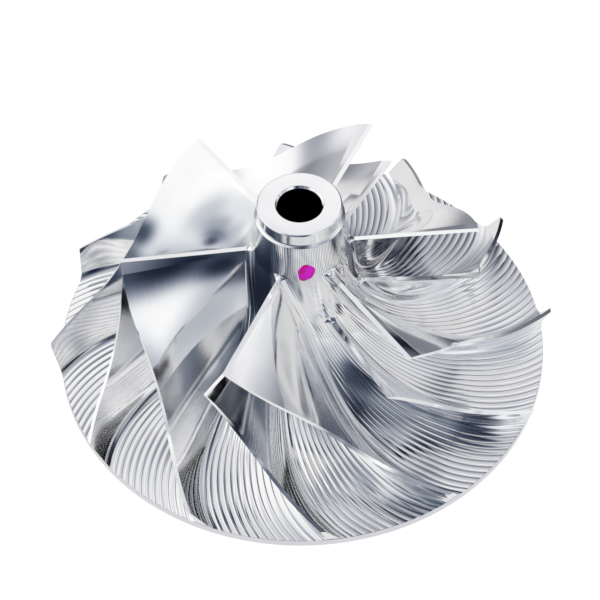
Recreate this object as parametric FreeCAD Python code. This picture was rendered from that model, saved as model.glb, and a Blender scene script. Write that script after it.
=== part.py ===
"""Compressor wheel of a small turbocharger, turned and milled from one aluminium bar.

The frame: the origin is the centre of the boss face that seats on the shaft's shoulder, +Z points out of
the inlet, and the leading edge of one full blade lies on +X. Angles grow anticlockwise seen from the
inlet. All lengths are in millimetres and all angles in degrees.

The turned blank is drawn as two lines in the XZ plane, the hub line and the shroud line. The blades stand
between them: each is a loft along the flow, cut to the blank's turned surfaces.
"""
import FreeCAD, Part
import math
import os

# Disc and back
disc_radius = 34.0
rim_thickness = 1.05
boss_radius = 9.0
boss_height = 0.8
boss_flare = 0.4
edge_break = 0.15

# Bore and nose
overall_height = 31.6
bore_radius = 3.0
bore_chamfer = 0.29
collar_radius = 5.74
collar_height = 2.0
shoulder_radius = 6.1
shoulder_drop = 0.2

# Hub line, from the full blades' leading edge to the rim: angles from the axis and from the disc's plane
hub_inlet_radius = 6.68
hub_inlet_height = 23.54
hub_nose_angle = 8.9
hub_disc_angle = 9.0
hub_bend_radius = 17.8

# Shroud line, turned over the blade tips
inducer_radius = 24.44
inducer_height = 23.12
inducer_angle = 0.35
exducer_radius = 35.2
exducer_angle = 25.6
exit_blade_height = 3.62
exit_setback = 0.05
shroud_bend_radius = 10.9

# Blades: a full blade and a splitter share one camber surface, half a pitch apart
blade_pairs = 6
hub_wrap_angle = 60.8
hub_turn = (2.54, -3.15)
shroud_wrap_angle = 58.2
shroud_turn = (1.70, -1.03)
edge_thickness = 0.62
root_thickness = 1.2
tip_thickness = 0.48
thickening_share = 0.25
root_flare = 0.9
root_depth = 0.6
splitter_hub_radius = 8.22
splitter_hub_height = 15.6
splitter_tip_height = 16.97

# Loft: sections from just ahead of the leading edge to just past the exit, each flank in straight rows
section_count = 12
flank_rows = 2
overrun_share = 0.05
tip_stock = 0.4
difference_share = 0.002
halvings = 30

part_name = "compressor_wheel"

rim_top = boss_height + rim_thickness
origin = FreeCAD.Vector(0, 0, 0)
axis = FreeCAD.Vector(0, 0, 1)


def meridional_line(start, start_angle, end, end_angle, bend_radius):
    """Straight run, bend and straight run, tangent to each other, as curves in the XZ plane.

    The line leaves its start along -Z, tilted outwards, and reaches its end along +X, sloping down. The
    bend has the given radius and touches both runs, equally far from the corner where they would meet.
    """
    tilt = math.radians(start_angle)
    fall = math.radians(end_angle)
    first = FreeCAD.Vector(start[0], 0, start[1])
    last = FreeCAD.Vector(end[0], 0, end[1])
    leave = FreeCAD.Vector(math.sin(tilt), 0, -math.cos(tilt))
    arrive = FreeCAD.Vector(math.cos(fall), 0, -math.sin(fall))
    across = FreeCAD.Vector(arrive.z, 0, -arrive.x)
    corner = first + leave * ((last - first).dot(across) / leave.dot(across))
    half_turn = leave.getAngle(arrive) / 2
    setback = bend_radius * math.tan(half_turn)
    bend_start = corner - leave * setback
    bend_end = corner + arrive * setback
    bisector = (arrive - leave).normalize()
    bend_middle = corner + bisector * (bend_radius / math.cos(half_turn) - bend_radius)
    return [Part.LineSegment(first, bend_start),
            Part.Arc(bend_start, bend_middle, bend_end),
            Part.LineSegment(bend_end, last)]


hub_line = meridional_line((hub_inlet_radius, hub_inlet_height), hub_nose_angle,
                           (disc_radius, rim_top), hub_disc_angle, hub_bend_radius)
shroud_line = meridional_line((inducer_radius, inducer_height), inducer_angle,
                              (exducer_radius, rim_top + exit_blade_height), exducer_angle, shroud_bend_radius)


def point_along(line, share):
    """The point at this share of a meridional line's length; past an end it goes on straight."""
    distance = share * sum(curve.length() for curve in line)
    for curve in line[:-1]:
        if distance <= curve.length():
            break
        distance -= curve.length()
    else:
        curve = line[-1]
    inside = min(max(distance, 0.0), curve.length())
    parameter = curve.parameterAtDistance(inside, curve.FirstParameter)
    return curve.value(parameter) + curve.tangent(parameter)[0] * (distance - inside)


def share_at_height(line, height):
    """The share of a line's length at which it comes down to this height, by halving."""
    low, high = 0.0, 1.0
    for step in range(halvings):
        middle = (low + high) / 2
        if point_along(line, middle).z > height:
            low = middle
        else:
            high = middle
    return (low + high) / 2


splitter_start = (share_at_height(hub_line, splitter_hub_height),
                  share_at_height(shroud_line, splitter_tip_height))


def turn_angle(share, wrap, turn):
    """How far the camber line has turned round the axis at this share of its length, by a cubic."""
    steep, ease = turn
    return wrap * (steep * share + ease * share ** 2 + (1 - steep - ease) * share ** 3)


def camber_point(along, across):
    """Radius, height and angle on the camber surface, at a share of the flow path and of the blade height."""
    hub = point_along(hub_line, along)
    shroud = point_along(shroud_line, along)
    hub_angle = turn_angle(along, hub_wrap_angle, hub_turn)
    shroud_angle = turn_angle(along, shroud_wrap_angle, shroud_turn)
    radius = hub.x + (shroud.x - hub.x) * across
    height = hub.z + (shroud.z - hub.z) * across
    return radius, height, hub_angle + (shroud_angle - hub_angle) * across


def in_space(radius, height, angle):
    a = math.radians(angle)
    return FreeCAD.Vector(radius * math.cos(a), radius * math.sin(a), height)


def wall_thickness(along, across, start):
    """Thin at the leading edge, thickening smoothly behind it at the root, and thinning towards the tip.

    The start holds the shares of the flow path at which the leading edge meets the hub and the shroud.
    """
    edge = start[0] + (start[1] - start[0]) * across
    grown = min(max((along - edge) / thickening_share, 0.0), 1.0)
    root = edge_thickness + (root_thickness - edge_thickness) * grown ** 2 * (3 - 2 * grown)
    return root + (tip_thickness - root) * min(max(across, 0.0), 1.0)


def flank_point(along, across, side, start, flare=0.0):
    """A point on the flank: the camber point moved round the axis by half the wall, plus the root's flare.

    The way round the axis is longer than the wall is thick where the blade leans over, so the half wall
    is divided by the share of the surface's normal that points round the axis.
    """
    radius, height, angle = camber_point(along, across)
    here = in_space(radius, height, angle)
    down = in_space(*camber_point(along + difference_share, across)) - here
    out = in_space(*camber_point(along, across + difference_share)) - here
    normal = down.cross(out).normalize()
    round_axis = in_space(1.0, 0.0, angle + 90.0)
    shift = (wall_thickness(along, across, start) / 2 + flare) / abs(normal.dot(round_axis))
    return in_space(radius, height, angle + side * math.degrees(shift / radius))


def blade_section(along, start):
    """One closed section of a blade: feet under the hub's skin, flared roots, flanks and a stock tip."""
    blade_height = point_along(hub_line, along).distanceToPoint(point_along(shroud_line, along))
    flare_top = root_flare / blade_height
    tip = 1 + tip_stock / blade_height
    sides = []
    for side in (1, -1):
        foot = flank_point(along, -root_depth / blade_height, side, start, root_flare + root_depth)
        flank = [flank_point(along, flare_top + (tip - flare_top) * row / flank_rows, side, start)
                 for row in range(flank_rows + 1)]
        sides.append([foot] + flank)
    left, right = sides
    return Part.makePolygon(left + right[::-1] + left[:1])


def blade_stock(start):
    """A blade with stock all round: one loft through sections from ahead of the edge to past the exit."""
    span = 1 + 2 * overrun_share
    stations = [-overrun_share + span * i / (section_count - 1) for i in range(section_count)]
    return Part.makeLoft([blade_section(along, start) for along in stations], True, False)


def revolved(edges):
    """A solid of revolution round Z from edges that close a face in the XZ plane."""
    face = Part.Face(Part.Wire(edges))
    return face.revolve(origin, axis, 360)


def straight_edges(points):
    corners = [FreeCAD.Vector(radius, 0, height) for radius, height in points]
    return [Part.makeLine(a, b) for a, b in zip(corners, corners[1:])]


def blade_space():
    """The space that the turned blank leaves for the full blades, from inside the hub to the shroud line."""
    inner_radius = (bore_radius + hub_inlet_radius) / 2
    slope = (inducer_height - hub_inlet_height) / (inducer_radius - hub_inlet_radius)
    inner_height = hub_inlet_height + slope * (inner_radius - hub_inlet_radius)
    exit_foot = disc_radius - exit_setback
    floor = boss_height + rim_thickness / 3
    tip_edge = [curve.toShape() for curve in shroud_line]
    rest = straight_edges([
        (exducer_radius, rim_top + exit_blade_height),
        (exit_foot, rim_top),
        (exit_foot - rim_thickness, floor),
        (inner_radius, floor),
        (inner_radius, inner_height),
        (inducer_radius, inducer_height),
    ])
    return revolved(tip_edge + rest)


def splitter_space(space):
    """The part of the blade space under the cone that the splitters' leading edges lie on."""
    slope = (splitter_tip_height - splitter_hub_height) / (inducer_radius - splitter_hub_radius)
    outer_radius = exducer_radius + tip_stock
    outer_height = splitter_hub_height + slope * (outer_radius - splitter_hub_radius)
    axis_height = splitter_hub_height - slope * splitter_hub_radius
    under_cone = straight_edges([
        (0, 0),
        (outer_radius, 0),
        (outer_radius, outer_height),
        (0, axis_height),
        (0, 0),
    ])
    return space.common(revolved(under_cone))


def turned_hub():
    """Disc, hub, nose, collar, boss and bore, as they come off the lathe without blades."""
    shoulder_height = overall_height - collar_height
    outline = straight_edges([
        (disc_radius, rim_top),
        (disc_radius, boss_height),
        (boss_radius + boss_flare, boss_height),
        (boss_radius, boss_height - boss_flare),
        (boss_radius, edge_break),
        (boss_radius - edge_break, 0),
        (bore_radius + bore_chamfer, 0),
        (bore_radius, bore_chamfer),
        (bore_radius, overall_height - bore_chamfer),
        (bore_radius + bore_chamfer, overall_height),
        (collar_radius - edge_break, overall_height),
        (collar_radius, overall_height - edge_break),
        (collar_radius, shoulder_height),
        (shoulder_radius, shoulder_height - shoulder_drop),
        (hub_inlet_radius, hub_inlet_height),
    ])
    turned = revolved([curve.toShape() for curve in hub_line] + outline)
    # A spline surface takes a third of the facets that a torus takes for the same bend.
    faces = [face.toNurbs().Faces[0] if isinstance(face.Surface, Part.Toroid) else face
             for face in turned.Faces]
    shell = Part.makeShell(faces)
    shell.sewShape()
    return Part.makeSolid(shell)


def compressor_wheel():
    """The hub with a full blade and a splitter in every pitch, as one solid."""
    space = blade_space()
    full_blade = blade_stock((0.0, 0.0)).common(space)
    splitter = blade_stock(splitter_start).common(splitter_space(space))
    pitch = 360.0 / blade_pairs
    blades = []
    for i in range(blade_pairs):
        blades.append(full_blade.rotated(origin, axis, pitch * i))
        blades.append(splitter.rotated(origin, axis, pitch * (i + 0.5)))
    return turned_hub().fuse(blades)


os.makedirs("parts", exist_ok=True)
wheel = compressor_wheel()
wheel.exportStep(os.path.join("parts", part_name + ".step"))
print(part_name, "valid", wheel.isValid(), "solids", len(wheel.Solids), "faces", len(wheel.Faces),
      "volume cm3", round(wheel.Volume / 1000, 3))
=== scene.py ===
"""Compressor wheel in bright milled aluminium: the visible surfaces, the studio and the camera.

Every surface is worked out with numpy as a function of two parameters. The camber surface stands between
two meridional lines, the hub line and the shroud line. "Along" is a share of the flow path, from the
leading edge (0) to the exit (1), and "across" a share of the blade height, from the hub (0) to the tip (1).
Metres, +Z out of the inlet, one full blade's leading edge on +X.
"""
import math

import bpy
from mathutils import Matrix
import numpy as np


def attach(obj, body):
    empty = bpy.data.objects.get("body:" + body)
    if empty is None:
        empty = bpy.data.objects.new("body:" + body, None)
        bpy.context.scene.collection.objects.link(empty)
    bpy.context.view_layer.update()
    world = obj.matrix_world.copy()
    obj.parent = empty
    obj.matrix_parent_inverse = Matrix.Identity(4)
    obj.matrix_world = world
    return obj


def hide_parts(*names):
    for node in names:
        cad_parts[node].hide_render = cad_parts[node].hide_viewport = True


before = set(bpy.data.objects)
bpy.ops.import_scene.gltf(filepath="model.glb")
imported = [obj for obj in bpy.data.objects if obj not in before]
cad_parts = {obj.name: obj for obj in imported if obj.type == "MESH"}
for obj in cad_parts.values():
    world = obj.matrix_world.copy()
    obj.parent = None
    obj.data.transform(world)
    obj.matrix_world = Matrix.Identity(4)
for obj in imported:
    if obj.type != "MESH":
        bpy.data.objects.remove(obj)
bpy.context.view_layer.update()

bl_info = {
    "name": "Compressor wheel",
    "version": (1, 0, 0),
    "blender": (4, 5, 0),
    "location": "View3D > Sidebar > Wheel",
    "description": "Builds the milled and turned surfaces of a compressor wheel on its packed frame",
    "category": "Object",
}

CAD_NODE = "compressor_wheel"
MM = 0.001
# Millimetres down the hub from the collar: where the nose's straight passes are blended away, where the
# passes between the blades set in, and where the nose's wider lines give way.
NOSE_PASSES_END = (5.5, 8.0)
FLOOR_PASSES_START = (10.0, 15.0)
NOSE_LINES_END = (4.5, 8.0)


def size(name, description, millimetres):
    """A length, given in millimetres and kept in metres."""
    return bpy.props.FloatProperty(name=name, description=description, default=millimetres * MM,
                                   unit="LENGTH", precision=5)


def slope(name, description, degrees):
    """An angle, given in degrees and kept in radians."""
    return bpy.props.FloatProperty(name=name, description=description, default=math.radians(degrees),
                                   subtype="ANGLE")


def share(name, description, default):
    """A value from 0 to 1."""
    return bpy.props.FloatProperty(name=name, description=description, default=default, min=0.0, max=1.0,
                                   subtype="FACTOR")


def count(name, description, default):
    """A whole number from 1 up."""
    return bpy.props.IntProperty(name=name, description=description, default=default, min=1)


def level(name, description, default):
    """A plain number, such as a brightness or a power."""
    return bpy.props.FloatProperty(name=name, description=description, default=default)


def colour(name, description, red, green, blue):
    """A linear colour."""
    return bpy.props.FloatVectorProperty(name=name, description=description, subtype="COLOR", size=3,
                                         min=0.0, max=1.0, default=(red, green, blue))


class WheelSizes(bpy.types.PropertyGroup):
    """Sizes of the turned blank and of the blades that stand on it."""
    disc_radius: size("Disc radius", "Radius of the back disc's rim", 34.0)
    disc_top: size("Disc top", "Height of the rim's upper edge over the boss face", 1.85)
    disc_back: size("Disc back", "Height of the disc's back over the boss face", 0.8)
    boss_radius: size("Boss radius", "Radius of the seat on the back", 9.0)
    boss_flare: size("Boss flare", "Flare between the seat and the back", 0.4)
    edge_break: size("Edge break", "Break on turned edges", 0.15)
    edge_round: size("Edge round", "Rounding that catches light on turned edges", 0.06)
    overall_height: size("Overall height", "Boss face to the nose's end face", 31.6)
    bore_radius: size("Bore radius", "Radius of the shaft bore", 3.0)
    bore_chamfer: size("Bore chamfer", "Chamfer at both ends of the bore", 0.29)
    collar_radius: size("Collar radius", "Radius of the turned collar", 5.74)
    collar_height: size("Collar height", "Height of the turned collar", 2.0)
    shoulder_radius: size("Shoulder radius", "Radius under the collar", 6.1)
    shoulder_drop: size("Shoulder drop", "Height of the chamfer ring under the collar", 0.2)
    hub_inlet_radius: size("Hub inlet radius", "Hub line's radius at the leading edge", 6.68)
    hub_inlet_height: size("Hub inlet height", "Hub line's height at the leading edge", 23.54)
    hub_nose_slope: slope("Nose slope", "Hub line's first run, from the axis", 8.9)
    hub_disc_slope: slope("Disc slope", "Hub line's last run, from the disc's plane", 9.0)
    hub_bend_radius: size("Hub bend", "Radius of the hub line's bend", 17.8)
    inducer_radius: size("Inducer radius", "Shroud line's radius at the leading edge", 24.44)
    inducer_height: size("Inducer height", "Shroud line's height at the leading edge", 23.12)
    inducer_slope: slope("Inducer slope", "Shroud line's first run, from the axis", 0.35)
    exducer_radius: size("Exducer radius", "Shroud line's radius at the exit", 35.2)
    exducer_height: size("Exducer height", "Shroud line's height at the exit", 5.47)
    exducer_slope: slope("Exducer slope", "Shroud line's last run, from the disc's plane", 25.6)
    shroud_bend_radius: size("Shroud bend", "Radius of the shroud line's bend", 10.9)
    blade_pairs: count("Blade pairs", "Full blades, each with a splitter half a pitch on", 6)
    hub_wrap: slope("Hub wrap", "Turn of the camber line at the hub", 60.8)
    shroud_wrap: slope("Shroud wrap", "Turn of the camber line at the tips", 58.2)
    edge_thickness: size("Edge thickness", "Blade thickness at the root of the leading edge", 0.62)
    root_thickness: size("Root thickness", "Blade thickness at the root behind it", 1.2)
    tip_thickness: size("Tip thickness", "Blade thickness at the tip", 0.48)
    thickening_share: share("Thickening", "Share of the flow path over which the root thickens", 0.25)
    edge_grind: share("Edge grind", "Share of the half wall ground off the upper flank at the tip", 0.76)
    edge_root_share: share("Ground edge at root", "Length of the ground edge, as a share of the path", 0.004)
    edge_tip_share: share("Ground edge at tip", "Length of the ground edge, as a share of the path", 0.03)
    root_fillet: size("Root fillet", "Radius between blade and hub", 0.9)
    root_depth: size("Root depth", "How far a blade reaches under the hub's skin", 0.3)
    splitter_hub_radius: size("Splitter hub radius", "Splitter's leading edge at the hub", 8.22)
    splitter_hub_height: size("Splitter hub height", "Splitter's leading edge at the hub", 15.6)
    splitter_tip_height: size("Splitter tip height", "Splitter's leading edge at the tip", 16.97)


class MillingMarks(bpy.types.PropertyGroup):
    """Traces that the ball-nosed cutter leaves."""
    floor_passes: count("Floor passes", "Cutter passes between a full blade and its splitter", 14)
    cutter_radius: size("Cutter radius", "Radius of the ball-nosed cutter", 1.6)
    nose_cutter_radius: size("Nose cutter radius", "Radius of the cutter that finished the nose", 1.3)
    nose_bend: size("Nose bend", "Height over which the nose's straight passes bend into the flow", 0.7)
    steps_per_pass: count("Steps per pass", "Mesh columns across one pass", 12)
    floor_rows: count("Floor rows", "Mesh rows along the flow", 96)
    nose_rows: count("Nose rows", "Mesh rows up the nose", 14)
    blended: share("Blended", "Share of the passes' depth smoothed away ahead of the splitters", 0.8)


class PaintSizes(bpy.types.PropertyGroup):
    """The balancer's dab of paint on the nose."""
    turn: slope("Turn", "Where the dab is, round the axis from +X", -89.2)
    height: size("Height", "Middle of the dab over the boss face", 25.0)
    width: size("Width", "Half width of the dab round the nose", 1.12)
    rise: size("Rise", "Half height of the dab up the nose", 1.5)
    thickness: size("Thickness", "How far the paint stands proud", 0.1)
    paint: colour("Paint", "Colour of the dab", 1.0, 0.0, 0.8)
    paint_dark: colour("Dark paint", "Colour of its thicker patches", 0.7, 0.0, 0.12)
    # Painted light: an emission that lifts the dab brighter than its paint colour can be under the tent.
    painted_glow: share("Glow", "Light that the fluorescent paint gives back of itself", 0.12)


class Finish(bpy.types.PropertyGroup):
    """Metal colours and polish."""
    metal: colour("Metal", "Bright aluminium", 0.955, 0.955, 0.957)
    rim_metal: colour("Rim metal", "Turned rim", 0.84, 0.83, 0.88)
    # Bore colour: painted shade that draws the deep bore near black.
    bore_painted_shade: colour("Bore metal", "Oiled wall of the bore", 0.012, 0.012, 0.014)
    blade_roughness: share("Blade roughness", "Roughness of the flanks", 0.075)
    floor_roughness: share("Floor roughness", "Roughness between the blades", 0.07)
    turned_roughness: share("Turned roughness", "Roughness of the turned faces", 0.13)
    # Painted shade along the lines between cutter passes: how much it darkens the metal.
    line_painted_shade: share("Line dullness", "How dull the metal is along the lines between passes", 0.68)


class Studio(bpy.types.PropertyGroup):
    """Camera, floor and light."""
    lens: bpy.props.FloatProperty(name="Lens", description="Focal length on a 36 mm sensor",
                                  default=175.609, subtype="DISTANCE_CAMERA")
    distance: size("Distance", "Camera to target", 406.473)
    elevation: slope("Elevation", "Camera over the horizon", 50.371)
    azimuth: slope("Azimuth", "Camera round the axis, from -Y", -5.591)
    roll: slope("Roll", "Camera turned about its own axis", -1.045)
    target_side: size("Target side", "Target, to the camera's right of the axis", -0.176)
    target_height: size("Target height", "Target over the boss face", 11.481)
    floor_size: size("Floor size", "Radius of the studio floor", 1200.0)
    floor_dark_radius: size("Unlit floor", "Radius under the wheel where the floor is left unlit", 15.0)
    floor_plain_radius: size("Plain floor", "Radius in which the floor is plain in the metal", 45.0)
    floor_shade: share("Floor shade", "Share of the floor that shows its shadow to the camera", 0.1)
    floor_white: level("Floor white", "Floor as the camera sees it", 1.07)
    floor_mirrored: level("Mirrored floor", "Floor in the metal", 0.8)
    tent_light: level("Tent light", "Brightness of the tent", 1.04)
    tent_contrast: level("Tent contrast", "Power that deepens its gaps", 1.5)


# Lines and surfaces

class BentLine:
    """A straight run, a bend and a straight run, tangent to each other, in the plane (radius, height)."""

    def __init__(self, start, start_slope, end, end_slope, radius):
        first, last = np.array(start), np.array(end)
        self.leave = np.array([math.sin(start_slope), -math.cos(start_slope)])
        self.arrive = np.array([math.cos(end_slope), -math.sin(end_slope)])
        runs = np.linalg.solve(np.stack([self.leave, self.arrive], 1), last - first)
        turn = math.acos(float(self.leave @ self.arrive))
        setback = radius * math.tan(turn / 2)
        corner = first + self.leave * runs[0]
        self.first, self.radius = first, radius
        self.inward = np.array([-self.leave[1], self.leave[0]])
        self.centre = corner - self.leave * setback + self.inward * radius
        self.bend_end = corner + self.arrive * setback
        self.run, self.bend = runs[0] - setback, radius * turn
        self.length = self.run + self.bend + runs[1] - setback

    def at(self, along):
        """Radius and height at shares of the length: along the first run, round the circle by distance over
        radius, along the last run. Past an end the straight run goes on."""
        distance = np.asarray(along)[..., None] * self.length
        turned = np.clip((distance - self.run) / self.radius, 0, self.bend / self.radius)
        first = self.first + self.leave * distance
        circle = self.centre + self.radius * (self.leave * np.sin(turned) - self.inward * np.cos(turned))
        last = self.bend_end + self.arrive * (distance - self.run - self.bend)
        point = np.where(distance < self.run, first, np.where(distance < self.run + self.bend, circle, last))
        return point[..., 0], point[..., 1]


def in_space(radius, height, turn):
    """Cylinder coordinates to points."""
    return np.stack([radius * np.cos(turn), radius * np.sin(turn), height + 0 * turn], -1)


def cubic_turn(along, wrap, steep, ease):
    """Turn of a camber line: wrap times (steep u + ease u^2 + the rest u^3), u being the share along it."""
    return wrap * (steep * along + ease * along ** 2 + (1 - steep - ease) * along ** 3)


def eased(x, low, high):
    """Eases from 0 at low to 1 at high: 3 t^2 - 2 t^3, t being the share of the way, held outside."""
    t = np.clip((x - low) / (high - low), 0, 1)
    return t * t * (3 - 2 * t)


class BladeSurface:
    """The camber surface and the flanks either side of it.

    HUB_TURN and SHROUD_TURN are steep and ease in the cubic turn of each line. STEP is a small share of the
    flow path, for slopes. SPLITTER_LATEST is where a splitter has begun at any height.
    """
    HUB_TURN = (2.54, -3.15)
    SHROUD_TURN = (1.70, -1.03)
    STEP = 0.002
    SPLITTER_LATEST, HALVINGS = 0.7, 40

    def __init__(self, s):
        self.s = s
        self.hub = BentLine((s.hub_inlet_radius, s.hub_inlet_height), s.hub_nose_slope,
                            (s.disc_radius, s.disc_top), s.hub_disc_slope, s.hub_bend_radius)
        self.shroud = BentLine((s.inducer_radius, s.inducer_height), s.inducer_slope,
                               (s.exducer_radius, s.exducer_height), s.exducer_slope, s.shroud_bend_radius)

    def hub_turn(self, along):
        """Turn of the camber line at the hub."""
        return cubic_turn(along, self.s.hub_wrap, *self.HUB_TURN)

    def camber(self, along, across):
        """Radius, height and turn, each blended straight from the hub line's value to the shroud line's."""
        hub, shroud = self.hub.at(along), self.shroud.at(along)
        turns = self.hub_turn(along), cubic_turn(along, self.s.shroud_wrap, *self.SHROUD_TURN)
        return [low + (high - low) * across for low, high in (*zip(hub, shroud), turns)]

    def height(self, along):
        """Length of the line from hub to shroud."""
        return np.hypot(*(np.array(self.shroud.at(along)) - np.array(self.hub.at(along))))

    def thickness(self, past, across):
        """Blade thickness at a share of the flow path past its own leading edge."""
        s = self.s
        root = s.edge_thickness + (s.root_thickness - s.edge_thickness) * eased(past, 0, s.thickening_share)
        return root + (s.tip_thickness - root) * np.clip(across, 0, 1)

    def edge_end(self, across):
        """Share of the flow path that the ground leading edge takes up, longer towards the tip."""
        return self.s.edge_root_share + (self.s.edge_tip_share - self.s.edge_root_share) * across

    def ground_off(self, past, across):
        """How much is ground off the upper flank, from most at the leading edge to none at edge_end."""
        ground = self.s.edge_grind * self.thickness(past, across) / 2 * np.clip(across, 0, 1)
        return ground * np.clip(1 - past / self.edge_end(across), 0, 1)

    def lean(self, along, across):
        """How much of the camber surface's normal points round the axis."""
        here = in_space(*self.camber(along, across))
        down = in_space(*self.camber(along + self.STEP, across)) - here
        out = in_space(*self.camber(along, across + self.STEP)) - here
        normal = np.cross(down, out)
        normal /= np.linalg.norm(normal, axis=-1, keepdims=True)
        turn = self.camber(along, across)[2]
        return np.abs(normal[..., 1] * np.cos(turn) - normal[..., 0] * np.sin(turn))

    def flank_turn(self, along, across, side, past, extra=0.0):
        """The camber point's turn moved by half the wall plus an extra, over the surface's lean."""
        radius, _, turn = self.camber(along, across)
        half = self.thickness(past, across) / 2 + extra
        if side > 0:
            half = half - self.ground_off(past, across)
        return turn + side * half / self.lean(along, across) / radius

    def flank(self, along, across, side, past, extra=0.0):
        """A point of the flank: the camber point's radius and height, at the flank's turn."""
        radius, height, _ = self.camber(along, across)
        return in_space(radius, height, self.flank_turn(along, across, side, past, extra))

    def splitter_start(self, across):
        """Share of the flow path where the camber surface meets the splitters' leading cone, by halving."""
        s = self.s
        fall = (s.splitter_tip_height - s.splitter_hub_height) / (s.inducer_radius - s.splitter_hub_radius)
        low, high = np.zeros_like(across), np.full_like(across, self.SPLITTER_LATEST)
        for _ in range(self.HALVINGS):
            middle = (low + high) / 2
            radius, height, _turn = self.camber(middle, across)
            above = height > s.splitter_hub_height + fall * (radius - s.splitter_hub_radius)
            low, high = np.where(above, middle, low), np.where(above, high, middle)
        return (low + high) / 2


# Mesh making

def spun(points, turn):
    """Points turned about the axis."""
    c, s = math.cos(turn), math.sin(turn)
    x, y, z = points[..., 0], points[..., 1], points[..., 2]
    return np.stack([c * x - s * y, s * x + c * y, z], -1)


def grid_faces(rows, columns, closed=False):
    """Quads of a grid of points, row by row; a closed grid also joins its last column to its first."""
    index = np.arange(rows * columns).reshape(rows, columns)
    if closed:
        index = np.concatenate([index, index[:, :1]], 1)
    return np.stack([index[:-1, :-1], index[:-1, 1:], index[1:, 1:], index[1:, :-1]], -1).reshape(-1, 4)


def patch(points, marks, closed=False, flip=False):
    """One grid of points with its pattern coordinates, as (vertices, quads, coordinates)."""
    rows, columns = points.shape[:2]
    faces = grid_faces(rows, columns, closed)
    return points.reshape(-1, 3), faces[:, ::-1] if flip else faces, marks.reshape(-1, 2)


def welded(patches, grain=2e-7):
    """Joins patches, merges points closer than the grain and drops the quads that this closes up."""
    starts = np.cumsum([0] + [len(p[0]) for p in patches[:-1]])
    points = np.concatenate([p[0] for p in patches])
    faces = np.concatenate([p[1] + start for p, start in zip(patches, starts)])
    marks = np.concatenate([p[2] for p in patches])
    _, first, merged = np.unique(np.round(points / grain).astype(np.int64), axis=0, return_index=True,
                                 return_inverse=True)
    corner_marks = marks[faces]
    faces = merged.ravel()[faces]
    whole = (faces[:, 0] != faces[:, 2]) & (faces[:, 1] != faces[:, 3])
    return points[first], faces[whole], corner_marks[whole]


def build_piece(name, patches, material, sharp=math.radians(12)):
    """A mesh object from patches, smooth but for edges sharper than the given angle, riding on the wheel."""
    points, faces, marks = welded(patches)
    mesh = bpy.data.meshes.new(name)
    keep = faces != np.roll(faces, 1, 1)
    sizes = keep.sum(1)
    loops = faces[keep]
    mesh.vertices.add(len(points))
    mesh.vertices.foreach_set("co", points.astype(np.float32).ravel())
    mesh.loops.add(len(loops))
    mesh.loops.foreach_set("vertex_index", loops.astype(np.int32))
    mesh.polygons.add(len(faces))
    mesh.polygons.foreach_set("loop_start", np.concatenate([[0], np.cumsum(sizes)[:-1]]).astype(np.int32))
    mesh.polygons.foreach_set("use_smooth", np.ones(len(faces), bool))
    layer = mesh.uv_layers.new(name="marks")
    layer.data.foreach_set("uv", marks[keep].astype(np.float32).ravel())
    mesh.update(calc_edges=True)
    mesh.validate()
    mesh.set_sharp_from_angle(angle=sharp)
    piece = bpy.data.objects.new(name, mesh)
    bpy.context.scene.collection.objects.link(piece)
    mesh.materials.append(material)
    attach(piece, "root")
    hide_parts(CAD_NODE)
    return piece


# Points of mesh up a root fillet, across the wall at a blade's ends, and round the foot of a leading edge.
FILLET_STEPS, CAP_STEPS, SWING_STEPS = 12, 5, 29
# Rows of mesh along the ground edge, as shares of its length, closer where it begins and ends.
EDGE_ROWS = (0.0, 0.04, 0.35, 0.65, 0.96, 1.0, 1.04)
# A small share of the flow path, for the way in which the hub comes to a leading edge.
AHEAD = 1e-3


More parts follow.
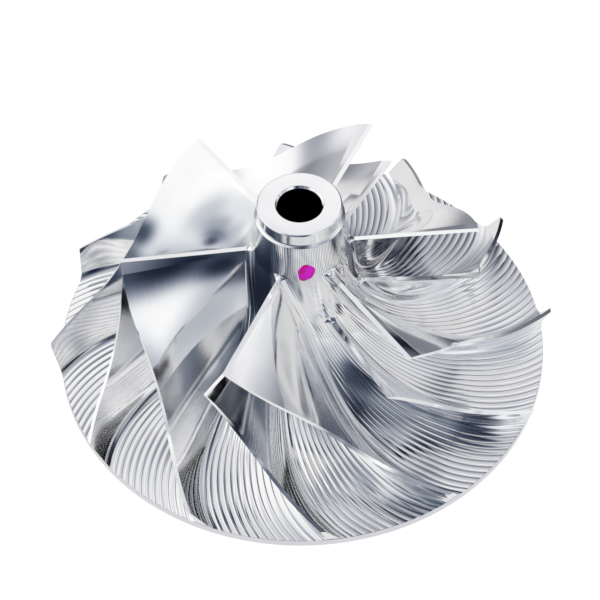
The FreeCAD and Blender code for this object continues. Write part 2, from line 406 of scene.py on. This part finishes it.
def blade_patches(surface, start, turn, rows=100, flank_steps=16):
    """One closed blade: a loop of foot, fillet, flank, tip and back again, carried from start to exit.

    The fillet is a quarter circle: at angle a it stands r (1 - cos a) over the hub and r (1 - sin a) off
    the flank. Round the foot of the leading edge it goes on as half an ellipse, as wide as the flanks' foot.
    """
    s = surface.s
    bend = np.linspace(0, math.pi / 2, FILLET_STEPS)
    foot_rise = np.concatenate([[-s.root_depth], s.root_fillet * (1 - np.cos(bend))])
    foot_reach = np.concatenate([[s.root_fillet], s.root_fillet * (1 - np.sin(bend))])
    feet = len(foot_rise)
    steps = np.linspace(0, 1, flank_steps + 1)[1:]
    edge_rows = np.array(EDGE_ROWS)[:, None]
    rest = np.linspace(0, 1, rows)[1:, None]

    hub_start = start(np.zeros(1))
    travel = np.concatenate([edge_rows * surface.edge_end(0.5), rest])
    tall = surface.height(np.minimum(hub_start + (1 - hub_start) * travel, 1))
    across = np.concatenate([foot_rise[None, :] / tall,
                             s.root_fillet / tall + (1 - s.root_fillet / tall) * steps[None, :]], 1)
    begin = start(across)
    edge = edge_rows * surface.edge_end(across[:len(edge_rows)])
    last = edge[-1:]
    past = np.concatenate([edge, last + (1 - begin[len(edge_rows):] - last) * rest])
    along = begin + past
    extra = np.concatenate([foot_reach, np.zeros(flank_steps)])[None, :]
    left, right = (surface.flank(along, across, side, past, extra) for side in (1, -1))
    side_marks = np.stack([along * surface.hub.length, across * tall], -1)
    loop = np.concatenate([left, right[:, ::-1]], 1)
    marks = np.concatenate([side_marks, side_marks[:, ::-1]], 1) / MM
    patches = [patch(spun(loop, turn), marks, closed=True)]
    blend = np.linspace(0, 1, CAP_STEPS)[None, :, None]
    for row, lowest, flip in ((0, feet - 1, False), (-1, 0, True)):
        cap = left[row, lowest:][:, None] * (1 - blend) + right[row, lowest:][:, None] * blend
        heights = (across[row] * tall[row] / MM)[lowest:]
        cap_marks = np.stack(np.broadcast_arrays(blend[..., 0] * 0, heights[:, None]), -1)
        patches.append(patch(spun(cap, turn), cap_marks, flip=flip))

    rung, at = across[0, :feet], begin[0, :feet]
    radius, height, middle = surface.camber(at, rung)
    swing = np.linspace(0, math.pi, SWING_STEPS)
    turns = [surface.flank_turn(at, rung, side, np.zeros(feet), foot_reach) - middle for side in (1, -1)]
    swung = np.cos(swing)[None, :]
    sweep = np.where(swung > 0, turns[0][:, None], -turns[1][:, None]) * swung
    ahead_radius, ahead_height = surface.hub.at(at - AHEAD)
    here_radius, here_height = surface.hub.at(at)
    run = np.hypot(ahead_radius - here_radius, ahead_height - here_height)
    push = foot_reach[:, None] * np.sin(swing)[None, :]
    wrap = in_space(radius[:, None] + ((ahead_radius - here_radius) / run)[:, None] * push,
                    height[:, None] + ((ahead_height - here_height) / run)[:, None] * push,
                    middle[:, None] + sweep)
    wrap_marks = np.stack(np.broadcast_arrays(swing[None, :], foot_rise[:, None] / MM), -1)
    patches.append(patch(spun(wrap, turn), wrap_marks))
    chord = wrap[:1, :1] + (wrap[:1, -1:] - wrap[:1, :1]) * ((1 - np.cos(swing)) / 2)[None, :, None]
    sole = np.concatenate([chord, wrap[:1]])
    patches.append(patch(spun(sole, turn), wrap_marks[:2]))
    return patches


def rounded(corners, radius, steps=9, most=0.4):
    """A profile with each inner corner rounded: (1 - t)^2 a + 2 t (1 - t) corner + t^2 b.

    The curve's ends a and b are a radius off the corner, but at most a given share of either side.
    """
    points = [np.array(corners[0], float)]
    for before, here, after in zip(corners, corners[1:], corners[2:]):
        before, here, after = (np.array(p, float) for p in (before, here, after))
        a = here + (before - here) * min(radius / np.linalg.norm(before - here), most)
        b = here + (after - here) * min(radius / np.linalg.norm(after - here), most)
        t = np.linspace(0, 1, steps + 1)[:, None]
        points.extend((1 - t) ** 2 * a + 2 * t * (1 - t) * here + t ** 2 * b)
    points.append(np.array(corners[-1], float))
    return np.array(points)


def revolved(profile, segments=288):
    """A profile of (radius, height) carried round the axis; marks are the turn and the way along it."""
    turn = np.linspace(0, 2 * math.pi, segments + 1)[:-1]
    points = in_space(profile[:, :1], profile[:, 1:], turn)
    way = np.concatenate([[0], np.cumsum(np.linalg.norm(np.diff(profile, axis=0), axis=1))]) / MM
    marks = np.stack(np.broadcast_arrays(turn[None, :], way[:, None]), -1)
    return patch(points, marks, closed=True, flip=True)


# Shader maths

class Wire:
    """A socket with arithmetic: an expression on values adds its Math nodes."""

    def __init__(self, tree, socket):
        self.tree, self.socket = tree, socket

    def _math(self, operation, *values):
        return self.tree.add("ShaderNodeMath", {"operation": operation}, dict(enumerate(values)))

    def __add__(self, other):
        return self._math("ADD", self, other)

    __radd__ = __add__

    def __sub__(self, other):
        return self._math("SUBTRACT", self, other)

    def __rsub__(self, other):
        return self._math("SUBTRACT", other, self)

    def __mul__(self, other):
        return self._math("MULTIPLY", self, other)

    __rmul__ = __mul__

    def __pow__(self, other):
        return self._math("POWER", self, other)

    def __rpow__(self, other):
        return self._math("POWER", other, self)

    def __neg__(self):
        return self._math("MULTIPLY", self, -1.0)

    def __abs__(self):
        return self._math("ABSOLUTE", self)

    def fraction(self):
        return self._math("FRACT", self)

    def exp(self):
        return self._math("EXPONENT", self)

    def above(self, limit):
        """1 above the limit and 0 below."""
        return self._math("GREATER_THAN", self, limit)

    def clamped(self):
        return self.tree.add("ShaderNodeClamp", {}, {0: self})

    def eased(self, low, high):
        """0 below low, 1 above high and smooth between them."""
        return self.tree.add("ShaderNodeMapRange", {"interpolation_type": "SMOOTHSTEP"},
                             {"Value": self, "From Min": low, "From Max": high})


class Tree:
    """A node tree that nodes are added to by type, settings and socket values."""

    def __init__(self, nodes_owner):
        nodes_owner.use_nodes = True
        self.tree = nodes_owner.node_tree
        self.tree.nodes.clear()

    def add(self, kind, settings=None, sockets=None, output=0):
        """Adds a node, sets its settings and then its sockets' values or links, and gives one output."""
        node = self.tree.nodes.new(kind)
        for name, value in (settings or {}).items():
            setattr(node, name, value)
        for key, value in (sockets or {}).items():
            if isinstance(value, Wire):
                self.tree.links.new(value.socket, node.inputs[key])
            else:
                node.inputs[key].default_value = value
        return Wire(self, node.outputs[output]) if node.outputs else node


# Colour of the painted shade along the lines between cutter passes.
LINE_SHADE_COLOUR = (0.13, 0.14, 0.16)
# The slow noise: its scale, where it starts and ends to show, and the share by which it darkens the metal.
DRIFT_SCALE, DRIFT_EDGES, DRIFT_DARKER = 160.0, (0.35, 0.7), 0.04
# How far roughness swings with the grain, as a share of itself, and with the slow noise.
GRAIN_ROUGHNESS, DRIFT_ROUGHNESS = 0.9, 0.06
# A line between passes starts and is full at these distances from the pass's middle, as shares of its width.
# Its painted shade is wider and darker on the nose, and uneven with the grain.
LINE_START, LINE_FULL = 0.39, 0.48
NOSE_LINE_WIDER, NOSE_LINE_SHADIER = 0.13, 0.08
LINE_LEAST, LINE_GRAIN = 0.6, 0.8
BORE_EDGE = 0.05 * MM


def metal_material(name, metal, roughness, grain_stretch, grain_bump, bore=None, ridge_shade=None):
    """Bright aluminium with cutter grain: noise on the pattern coordinates, stretched along the cut.

    Colour drifts by a few hundredths with a slow noise, roughness with the grain, and the grain is bumped.
    Ridge shade, given as two shares, is how much painted shade darkens the metal along the lines between
    cutter passes, and how much of that is blended away ahead of the splitters. A bore, given as (radius,
    colour), has that colour inside that radius: painted shade that draws the deep bore dark.
    """
    material = bpy.data.materials.new(name)
    tree = Tree(material)
    marks = tree.add("ShaderNodeUVMap", {"uv_map": "marks"})
    stretched = tree.add("ShaderNodeMapping", {}, {"Vector": marks, "Scale": grain_stretch})
    grain = tree.add("ShaderNodeTexNoise", {}, {"Vector": stretched, "Scale": 1.0, "Detail": 3.0})
    place = tree.add("ShaderNodeTexCoord", output="Object")
    drift = tree.add("ShaderNodeTexNoise", {}, {"Vector": place, "Scale": DRIFT_SCALE, "Detail": 2.0})
    dark = tuple(c * (1 - DRIFT_DARKER) for c in metal)
    base = tree.add("ShaderNodeMix", {"data_type": "RGBA"},
                    {0: drift.eased(*DRIFT_EDGES), 6: (*metal, 1.0), 7: (*dark, 1.0)}, output=2)
    if ridge_shade:
        line_shade_share, blended = ridge_shade
        down = tree.add("ShaderNodeSeparateXYZ", {}, {0: marks}, output="X")
        passes = tree.add("ShaderNodeSeparateXYZ", {}, {0: marks}, output="Y")
        off_middle = abs(passes.fraction() - 0.5)
        nose = 1 - down.eased(*NOSE_LINES_END)
        ahead = down.eased(*NOSE_PASSES_END) * (1 - down.eased(*FLOOR_PASSES_START))
        # Painted shade along the lines between passes, less of it ahead of the splitters.
        line = off_middle.eased(LINE_START - nose * NOSE_LINE_WIDER, LINE_FULL) \
            * (grain * LINE_GRAIN + LINE_LEAST) * (nose * NOSE_LINE_SHADIER + line_shade_share) * (1 - ahead * blended)
        base = tree.add("ShaderNodeMix", {"data_type": "RGBA"},
                        {0: line.clamped(), 6: base, 7: (*LINE_SHADE_COLOUR, 1.0)}, output=2)
    # Painted shade: inside the bore's radius the metal takes the bore's near-black colour.
    if bore:
        radius, bore_shade = bore
        flat = tree.add("ShaderNodeVectorMath", {"operation": "MULTIPLY"}, {0: place, 1: (1.0, 1.0, 0.0)})
        off_axis = tree.add("ShaderNodeVectorMath", {"operation": "LENGTH"}, {0: flat}, output="Value")
        inside = 1 - off_axis.eased(radius, radius + BORE_EDGE)
        base = tree.add("ShaderNodeMix", {"data_type": "RGBA"},
                        {0: inside, 6: base, 7: (*bore_shade, 1.0)}, output=2)
    rough = (grain - 0.5) * (roughness * GRAIN_ROUGHNESS) + roughness + (drift - 0.5) * DRIFT_ROUGHNESS
    bump = tree.add("ShaderNodeBump", {}, {"Strength": 1.0, "Distance": grain_bump, "Height": grain})
    shader = tree.add("ShaderNodeBsdfPrincipled", {}, {
        "Base Color": base, "Metallic": 1.0, "Roughness": rough.clamped(), "Normal": bump})
    tree.add("ShaderNodeOutputMaterial", {}, {0: shader})
    return material


# The noise in the paint: its scale, where its darker patches start and are full, and how high it stands.
PAINT_SCALE, PAINT_EDGES, PAINT_BUMP = 1300.0, (0.48, 0.62), 0.13 * MM


def paint_material(paint):
    """Glossy fluorescent paint, darker and redder where it has gathered; it glows a little of itself, painted
    light that makes it brighter than its colour allows.
    """
    material = bpy.data.materials.new("balance_paint")
    tree = Tree(material)
    place = tree.add("ShaderNodeTexCoord", output="Object")
    patches = tree.add("ShaderNodeTexNoise", {}, {"Vector": place, "Scale": PAINT_SCALE, "Detail": 2.0})
    thick = patches.eased(*PAINT_EDGES)
    tint = tree.add("ShaderNodeMix", {"data_type": "RGBA"},
                    {0: thick, 6: (*paint.paint, 1.0), 7: (*paint.paint_dark, 1.0)}, output=2)
    bump = tree.add("ShaderNodeBump", {}, {"Strength": 1.0, "Distance": PAINT_BUMP, "Height": patches})
    # The emission is painted light on the dab.
    shader = tree.add("ShaderNodeBsdfPrincipled", {}, {
        "Base Color": tint, "Roughness": 0.3, "Specular IOR Level": 0.25, "Coat Weight": 0.25, "Normal": bump,
        "Emission Color": (*paint.paint, 1.0), "Emission Strength": paint.painted_glow})
    tree.add("ShaderNodeOutputMaterial", {}, {0: shader})
    return material


# Operators

class WHEEL_OT_full_blades(bpy.types.Operator):
    """Build the full blades"""
    bl_idname = "wheel.full_blades"
    bl_label = "Full blades"

    def execute(self, context):
        scene = context.scene
        surface = BladeSurface(scene.wheel_sizes)
        pairs = scene.wheel_sizes.blade_pairs
        finish = scene.wheel_finish
        material = metal_material("blade_metal", finish.metal, finish.blade_roughness,
                                  grain_stretch=(0.12, 5.0, 1.0), grain_bump=1.2e-6)
        patches = []
        for i in range(pairs):
            patches += blade_patches(surface, np.zeros_like, 2 * math.pi * i / pairs)
        build_piece("full_blades", patches, material)
        return {"FINISHED"}


class WHEEL_OT_splitter_blades(bpy.types.Operator):
    """Build the splitter blades"""
    bl_idname = "wheel.splitter_blades"
    bl_label = "Splitter blades"

    def execute(self, context):
        scene = context.scene
        surface = BladeSurface(scene.wheel_sizes)
        pairs = scene.wheel_sizes.blade_pairs
        material = bpy.data.materials["blade_metal"]
        patches = []
        for i in range(pairs):
            patches += blade_patches(surface, surface.splitter_start, 2 * math.pi * (i + 0.5) / pairs,
                                     rows=70, flank_steps=12)
        build_piece("splitter_blades", patches, material)
        return {"FINISHED"}


class WHEEL_OT_milled_hub(bpy.types.Operator):
    """Build the hub between the blades, with the cutter's passes"""
    bl_idname = "wheel.milled_hub"
    bl_label = "Milled hub"

    def execute(self, context):
        scene = context.scene
        s, marks, finish = scene.wheel_sizes, scene.wheel_marks, scene.wheel_finish
        surface = BladeSurface(s)
        # The hub's metal carries painted shade along the lines between cutter passes.
        material = metal_material("hub_metal", finish.metal, finish.floor_roughness,
                                  grain_stretch=(0.15, 4.0, 1.0), grain_bump=1e-6,
                                  ridge_shade=(finish.line_painted_shade, marks.blended))
        pitch = 2 * math.pi / s.blade_pairs
        columns = 2 * marks.floor_passes * marks.steps_per_pass
        sweep = np.linspace(0, 1, columns + 1)
        shoulder = s.overall_height - s.collar_height - s.shoulder_drop
        for i in range(s.blade_pairs):
            points, coordinates = hub_sector(surface, marks, sweep, shoulder, pitch)
            sector = patch(spun(points, pitch * i), coordinates, flip=True)
            build_piece(f"milled_hub_{i + 1}", [sector], material)
        return {"FINISHED"}


def hub_sector(surface, marks, sweep, shoulder, pitch):
    """The hub from the collar to the rim over one pitch, scalloped by the cutter's passes.

    Each pass is a shallow trough of the cutter's radius: where the passes are w wide and the place is a
    share f across one, it lies w^2 / 8R (1 - (2f - 1)^2) under the ridges, along the hub's normal. Between
    the nose and the splitters' roots the passes are blended, and most of that depth is gone.
    """
    s = surface.s
    along = np.linspace(0, 1, marks.floor_rows)
    radius, height = surface.hub.at(along)
    turn = surface.hub_turn(along)
    up = np.linspace(1, 0, marks.nose_rows + 1)[:-1]
    nose_radius = s.hub_inlet_radius + (s.shoulder_radius - s.hub_inlet_radius) * up
    nose_height = s.hub_inlet_height + (shoulder - s.hub_inlet_height) * up
    first_turn = surface.hub_turn(np.array([AHEAD]))[0] / AHEAD / surface.hub.length
    bend_height = marks.nose_bend * (1 - np.exp(-up * (shoulder - s.hub_inlet_height) / marks.nose_bend))
    nose_turn = -first_turn * bend_height
    radius, height = np.concatenate([nose_radius, radius]), np.concatenate([nose_height, height])
    turn = np.concatenate([nose_turn, turn])
    run = np.stack([np.gradient(radius), np.gradient(height)])
    run /= np.linalg.norm(run, axis=0)
    way = np.concatenate([[0], np.cumsum(np.hypot(np.diff(radius), np.diff(height)))])
    steer = np.gradient(turn) * radius / np.gradient(way)
    flow = 1 / np.sqrt(1 + steer ** 2)
    width = radius * pitch / (2 * marks.floor_passes) * flow
    passes = sweep * 2 * marks.floor_passes
    trough = 1 - (2 * (passes % 1.0) - 1) ** 2
    sharpness = 1 / marks.cutter_radius + (1 / marks.nose_cutter_radius - 1 / marks.cutter_radius) \
        * eased(height, s.splitter_hub_height, s.hub_inlet_height)
    down = way / MM
    ahead = eased(down, *NOSE_PASSES_END) * (1 - eased(down, *FLOOR_PASSES_START))
    depth = (width ** 2 * sharpness / 8 * (1 - marks.blended * ahead))[:, None] * trough[None, :]
    places = in_space(radius[:, None] + run[1][:, None] * depth, height[:, None] - run[0][:, None] * depth,
                      turn[:, None] + sweep[None, :] * pitch)
    coordinates = np.stack(np.broadcast_arrays(down[:, None], passes[None, :]), -1)
    return places, coordinates


class WHEEL_OT_turned_faces(bpy.types.Operator):
    """Build the collar, the bore, the back and the rim"""
    bl_idname = "wheel.turned_faces"
    bl_label = "Turned faces"

    def execute(self, context):
        scene = context.scene
        s, finish = scene.wheel_sizes, scene.wheel_finish
        shoulder = s.overall_height - s.collar_height
        # The bore's colour is painted shade.
        bore = (s.bore_radius, finish.bore_painted_shade)
        rim = metal_material("rim_metal", finish.rim_metal, finish.turned_roughness,
                             grain_stretch=(0.5, 9.0, 1.0), grain_bump=2e-6, bore=bore)
        turned = metal_material("turned_metal", finish.metal, finish.turned_roughness,
                                grain_stretch=(0.5, 11.0, 1.0), grain_bump=3e-6, bore=bore)
        back = rounded([
            (s.disc_radius - 4 * s.edge_round, s.disc_top - 2 * s.edge_round),
            (s.disc_radius, s.disc_top),
            (s.disc_radius, s.disc_back),
            (s.boss_radius + s.boss_flare, s.disc_back),
            (s.boss_radius, s.disc_back - s.boss_flare),
            (s.boss_radius, s.edge_break),
            (s.boss_radius - s.edge_break, 0.0),
            (s.bore_radius + s.bore_chamfer, 0.0),
            (s.bore_radius, s.bore_chamfer),
            (s.bore_radius, s.overall_height / 2),
        ], s.edge_round)
        nose = rounded([
            (s.bore_radius, s.overall_height / 2),
            (s.bore_radius, s.overall_height - s.bore_chamfer),
            (s.bore_radius + s.bore_chamfer, s.overall_height),
            (s.collar_radius - s.edge_break, s.overall_height),
            (s.collar_radius, s.overall_height - s.edge_break),
            (s.collar_radius, shoulder),
            (s.shoulder_radius, shoulder - s.shoulder_drop),
            (s.shoulder_radius - 2 * s.edge_round, shoulder - s.shoulder_drop - 4 * s.edge_round),
        ], s.edge_round)
        build_piece("turned_back", [revolved(back)], rim)
        build_piece("turned_nose", [revolved(nose)], turned)
        return {"FINISHED"}


class WHEEL_OT_paint_dab(bpy.types.Operator):
    """Build the dab of paint on the nose"""
    bl_idname = "wheel.paint_dab"
    bl_label = "Paint dab"

    def execute(self, context):
        scene = context.scene
        paint = scene.wheel_paint
        points, coordinates = dab_surface(scene.wheel_sizes, paint)
        dab = patch(points, coordinates, closed=True, flip=True)
        build_piece("paint_dab", [dab], paint_material(paint))
        return {"FINISHED"}


# The dab's outline swings by these shares, so many times a turn, from these angles.
DAB_OUTLINE = ((0.07, 2, 0.6), (0.05, 3, 1.9), (0.03, 5, 0.0))
DAB_UNEVEN = 0.2
# How far out its mesh goes, as a share of the outline, and the mesh's rings and spokes.
DAB_REACH, DAB_RINGS, DAB_SPOKES = 1.25, 14, 48


def dab_surface(s, paint):
    """The dab over the nose's wall, with its pattern coordinates.

    At a share q of the way out and an angle a, a point is width q cos a round the nose and rise q sin a up
    it, times the outline's swing, and stands thickness (1 - q^4) proud, a little uneven. Past q = 1 the
    surface dips under the nose's skin.
    """
    out = np.linspace(0, DAB_REACH, DAB_RINGS)[:, None]
    turn = np.linspace(0, 2 * math.pi, DAB_SPOKES + 1)[None, :-1]
    reach = out * (1 + sum(part * np.sin(times * turn + start) for part, times, start in DAB_OUTLINE))
    side, height = paint.width * reach * np.cos(turn), paint.height + paint.rise * reach * np.sin(turn)
    proud = paint.thickness * (1 - out ** 4 + DAB_UNEVEN * np.sin(3 * turn) * out * (1 - out))
    wall_top = s.overall_height - s.collar_height - s.shoulder_drop
    up = (height - s.hub_inlet_height) / (wall_top - s.hub_inlet_height)
    wall = s.hub_inlet_radius + (s.shoulder_radius - s.hub_inlet_radius) * up
    coordinates = np.stack(np.broadcast_arrays(out, turn), -1)
    return in_space(wall + proud, height, paint.turn + side / wall), coordinates


class WHEEL_OT_studio(bpy.types.Operator):
    """Set up the floor, the light and the camera"""
    bl_idname = "wheel.studio"
    bl_label = "Studio"

    def execute(self, context):
        scene = context.scene
        studio = scene.wheel_studio
        floor = floor_disc(studio)
        studio_world(scene, studio)
        place_camera(scene, studio)
        scene.view_settings.view_transform = "Standard"
        return {"FINISHED"}


FLOOR_RINGS, FLOOR_SPOKES = 12, 64
CARD = (0.93, 0.93, 0.935)


def floor_disc(studio):
    """A flat round floor at height 0, in white card, which keeps the wheel's shadow.

    Its rings lie at squares of even shares of its radius. In the metal it is plain near the wheel, and
    further out it carries the tent's pattern on.
    """
    out = np.linspace(0, 1, FLOOR_RINGS)[:, None] ** 2 * studio.floor_size
    turn = np.linspace(0, 2 * math.pi, FLOOR_SPOKES + 1)[None, :-1]
    points = in_space(out, 0 * out, turn)
    vertices, faces, _ = welded([patch(points, points[..., :2], closed=True)])
    mesh = bpy.data.meshes.new("floor")
    mesh.from_pydata(vertices.tolist(), [], [sorted(set(f), key=f.index) for f in faces.tolist()])
    floor = bpy.data.objects.new("floor", mesh)
    bpy.context.scene.collection.objects.link(floor)
    material = bpy.data.materials.new("floor_card")
    tree = Tree(material)
    place = tree.add("ShaderNodeTexCoord", output="Object")
    off_axis = tree.add("ShaderNodeVectorMath", {"operation": "LENGTH"}, {0: place}, output="Value")
    clear = off_axis.eased(studio.floor_dark_radius, 1.5 * studio.floor_dark_radius)
    camera = tree.add("ShaderNodeLightPath", output="Is Camera Ray")
    glossy = tree.add("ShaderNodeLightPath", output="Is Glossy Ray")
    card = tree.add("ShaderNodeBsdfDiffuse", {}, {"Color": (*CARD, 1.0)})
    from_wheel = tree.add("ShaderNodeVectorMath", {"operation": "SUBTRACT"},
                          {0: place, 1: (0.0, 0.0, studio.target_height)})
    way = tree.add("ShaderNodeVectorMath", {"operation": "NORMALIZE"}, {0: from_wheel})
    far = off_axis.eased(studio.floor_plain_radius, 2 * studio.floor_plain_radius)
    tone = tree.add("ShaderNodeMix", {"data_type": "RGBA"},
                    {0: far, 6: (1.0, 1.0, 1.0, 1.0), 7: tent_tone(tree, way, studio)}, output=2)
    mirrored = tree.add("ShaderNodeEmission", {}, {"Color": tone, "Strength": studio.floor_mirrored})
    white = tree.add("ShaderNodeEmission", {}, {"Strength": studio.floor_white})
    low = tree.add("ShaderNodeMixShader", {}, {0: glossy * clear, 1: card, 2: mirrored})
    seen = camera * clear * (1 - studio.floor_shade)
    both = tree.add("ShaderNodeMixShader", {}, {0: seen, 1: low, 2: white})
    tree.add("ShaderNodeOutputMaterial", {}, {0: both})
    mesh.materials.append(material)
    return floor


# Dark gaps in the tent, in degrees: turn from the camera and lift of the middle, half widths round and up;
# last, the share of the light that is missing there. The ones near the camera look bluer in the metal.
FRONT_GAPS = [
    (-35.7, 44.0, 9.8, 7.1, 0.81),
    (6.0, 17.8, 14.8, 34.3, 0.81),
    (-52.4, 10.6, 3.2, 2.9, 0.68),
    (-56.6, 11.2, 4.5, 5.5, 0.43),
    (-61.6, 14.3, 9.3, 6.9, 0.43),
    (-66.6, 24.1, 12.8, 6.3, 0.26),
    (-62.0, 5.0, 9.9, 3.8, 0.26),
    (-79.1, 8.8, 10.0, 18.4, 0.14),
    (-22.9, -12.3, 25.1, 39.8, 0.93),
    (74.2, 54.6, 12.7, 30.4, 0.45),
    (-28.7, 24.2, 5.2, 3.9, 0.73),
    (48.0, 17.3, 45.0, 16.5, 0.35),
    (-14.6, 50.9, 7.7, 23.8, 0.70),
    (17.5, 20.9, 6.2, 16.6, 0.75),
    (10.5, 56.1, 10.0, 25.8, 0.92),
    (-54.6, -8.0, 11.0, 9.4, 0.60),
    (-43.2, -5.0, 10.3, 5.0, 0.95),
    (22.2, -9.0, 3.6, 3.5, 0.58),
]
BACK_GAPS = [
    (147.5, 33.3, 20.6, 8.4, 0.43),
    (139.4, 11.0, 24.5, 28.0, 0.80),
    (179.3, 2.3, 22.7, 29.8, 0.57),
    (-144.5, -9.2, 12.1, 11.4, 0.41),
    (124.0, 88.8, 21.3, 34.4, 0.37),
    (-137.8, 23.1, 8.7, 34.7, 0.50),
    (151.5, 57.6, 44.1, 3.5, 0.18),
    (104.0, -19.1, 7.3, 10.9, 0.61),
    (96.6, 20.4, 3.5, 21.7, 0.45),
    (134.0, 3.0, 9.0, 8.0, 0.80),
    (154.5, 9.5, 5.0, 4.5, 0.85),
    (149.0, 20.0, 5.5, 5.0, 0.85),
    (122.0, -1.5, 5.5, 3.5, 0.80),
]
FRONT_TINT = (1.1, 1.0, 0.84)
BACK_TINT = (1.02, 1.0, 0.88)


def gap_light(tree, way, gaps, azimuth):
    """Share of the tent's light left in a direction, beside a group of gaps.

    A gap takes its share of the light times exp(-(a^2 + b^2)^1.5), where a and b are the sines of the angles
    off its middle, round and up, each over the sine of its half width.
    """
    light = 1.0
    for turn, lift, width, rise, missing in gaps:
        a, e = math.radians(turn - 90) + azimuth, math.radians(lift)
        middle = np.array([math.cos(a) * math.cos(e), math.sin(a) * math.cos(e), math.sin(e)])
        sideways = np.array([-math.sin(a), math.cos(a), 0.0])
        axes = (middle, sideways / math.sin(math.radians(width)),
                np.cross(middle, sideways) / math.sin(math.radians(rise)))
        ahead, across, upward = (tree.add("ShaderNodeVectorMath", {"operation": "DOT_PRODUCT"},
                                          {0: way, 1: tuple(axis)}, output="Value") for axis in axes)
        spread = (across * across + upward * upward) ** 1.5
        light = (1 - (-spread).exp() * ahead.above(0.0) * missing) * light
    return light


def tent_tone(tree, way, studio):
    """The tent's colour in a direction: white, each channel a power of the light that the gaps leave."""
    front = gap_light(tree, way, FRONT_GAPS, studio.azimuth) ** studio.tent_contrast
    back = gap_light(tree, way, BACK_GAPS, studio.azimuth) ** studio.tent_contrast
    channels = {i: front ** FRONT_TINT[i] * back ** BACK_TINT[i] for i in range(3)}
    return tree.add("ShaderNodeCombineColor", {}, channels)


def studio_world(scene, studio):
    """A white tent with dark gaps; the camera sees plain white."""
    world = bpy.data.worlds.new("tent")
    scene.world = world
    tree = Tree(world)
    tone = tent_tone(tree, tree.add("ShaderNodeTexCoord", output="Generated"), studio)
    tent = tree.add("ShaderNodeBackground", {}, {0: tone, 1: studio.tent_light})
    white = tree.add("ShaderNodeBackground", {}, {0: (1.0, 1.0, 1.0, 1.0)})
    camera = tree.add("ShaderNodeLightPath", output="Is Camera Ray")
    both = tree.add("ShaderNodeMixShader", {}, {0: camera, 1: tent, 2: white})
    tree.add("ShaderNodeOutputWorld", {}, {0: both})


def place_camera(scene, studio):
    """The camera looks at the target from the given distance, elevation and azimuth, rolled a little."""
    e, a, roll = studio.elevation, studio.azimuth, studio.roll
    back = np.array([math.sin(a) * math.cos(e), -math.cos(a) * math.cos(e), math.sin(e)])
    right = np.array([math.cos(a), math.sin(a), 0.0])
    above = np.cross(back, right)
    x_axis = right * math.cos(roll) + above * math.sin(roll)
    y_axis = -right * math.sin(roll) + above * math.cos(roll)
    target = right * studio.target_side + np.array([0.0, 0.0, studio.target_height])
    matrix = np.eye(4)
    matrix[:3, 0], matrix[:3, 1], matrix[:3, 2] = x_axis, y_axis, back
    matrix[:3, 3] = target + back * studio.distance
    data = bpy.data.cameras.new("camera")
    data.lens, data.sensor_width = studio.lens, 36.0
    data.clip_start, data.clip_end = 0.01, 20.0
    camera = bpy.data.objects.new("camera", data)
    scene.collection.objects.link(camera)
    camera.matrix_world = Matrix(matrix.tolist())
    scene.camera = camera


class WHEEL_PT_panel(bpy.types.Panel):
    """Buttons and sizes of the wheel"""
    bl_idname = "WHEEL_PT_panel"
    bl_label = "Compressor wheel"
    bl_space_type = "VIEW_3D"
    bl_region_type = "UI"
    bl_category = "Wheel"

    def draw(self, context):
        for step in STEPS:
            self.layout.operator(step.bl_idname)
        for group in GROUPS:
            settings = getattr(context.scene, group)
            for name in settings.bl_rna.properties.keys():
                if name not in ("rna_type", "name"):
                    self.layout.prop(settings, name)


STEPS = (WHEEL_OT_full_blades, WHEEL_OT_splitter_blades, WHEEL_OT_milled_hub, WHEEL_OT_turned_faces,
         WHEEL_OT_paint_dab, WHEEL_OT_studio)
GROUPS = {"wheel_sizes": WheelSizes, "wheel_marks": MillingMarks, "wheel_paint": PaintSizes,
          "wheel_finish": Finish, "wheel_studio": Studio}


def register():
    for cls in (*GROUPS.values(), *STEPS, WHEEL_PT_panel):
        bpy.utils.register_class(cls)
    for name, group in GROUPS.items():
        setattr(bpy.types.Scene, name, bpy.props.PointerProperty(type=group))


def unregister():
    for name in GROUPS:
        delattr(bpy.types.Scene, name)
    for cls in reversed((*GROUPS.values(), *STEPS, WHEEL_PT_panel)):
        bpy.utils.unregister_class(cls)


def main():
    register()
    for step in STEPS:
        module, name = step.bl_idname.split(".")
        getattr(getattr(bpy.ops, module), name)()


if __name__ == "__main__":
    main()
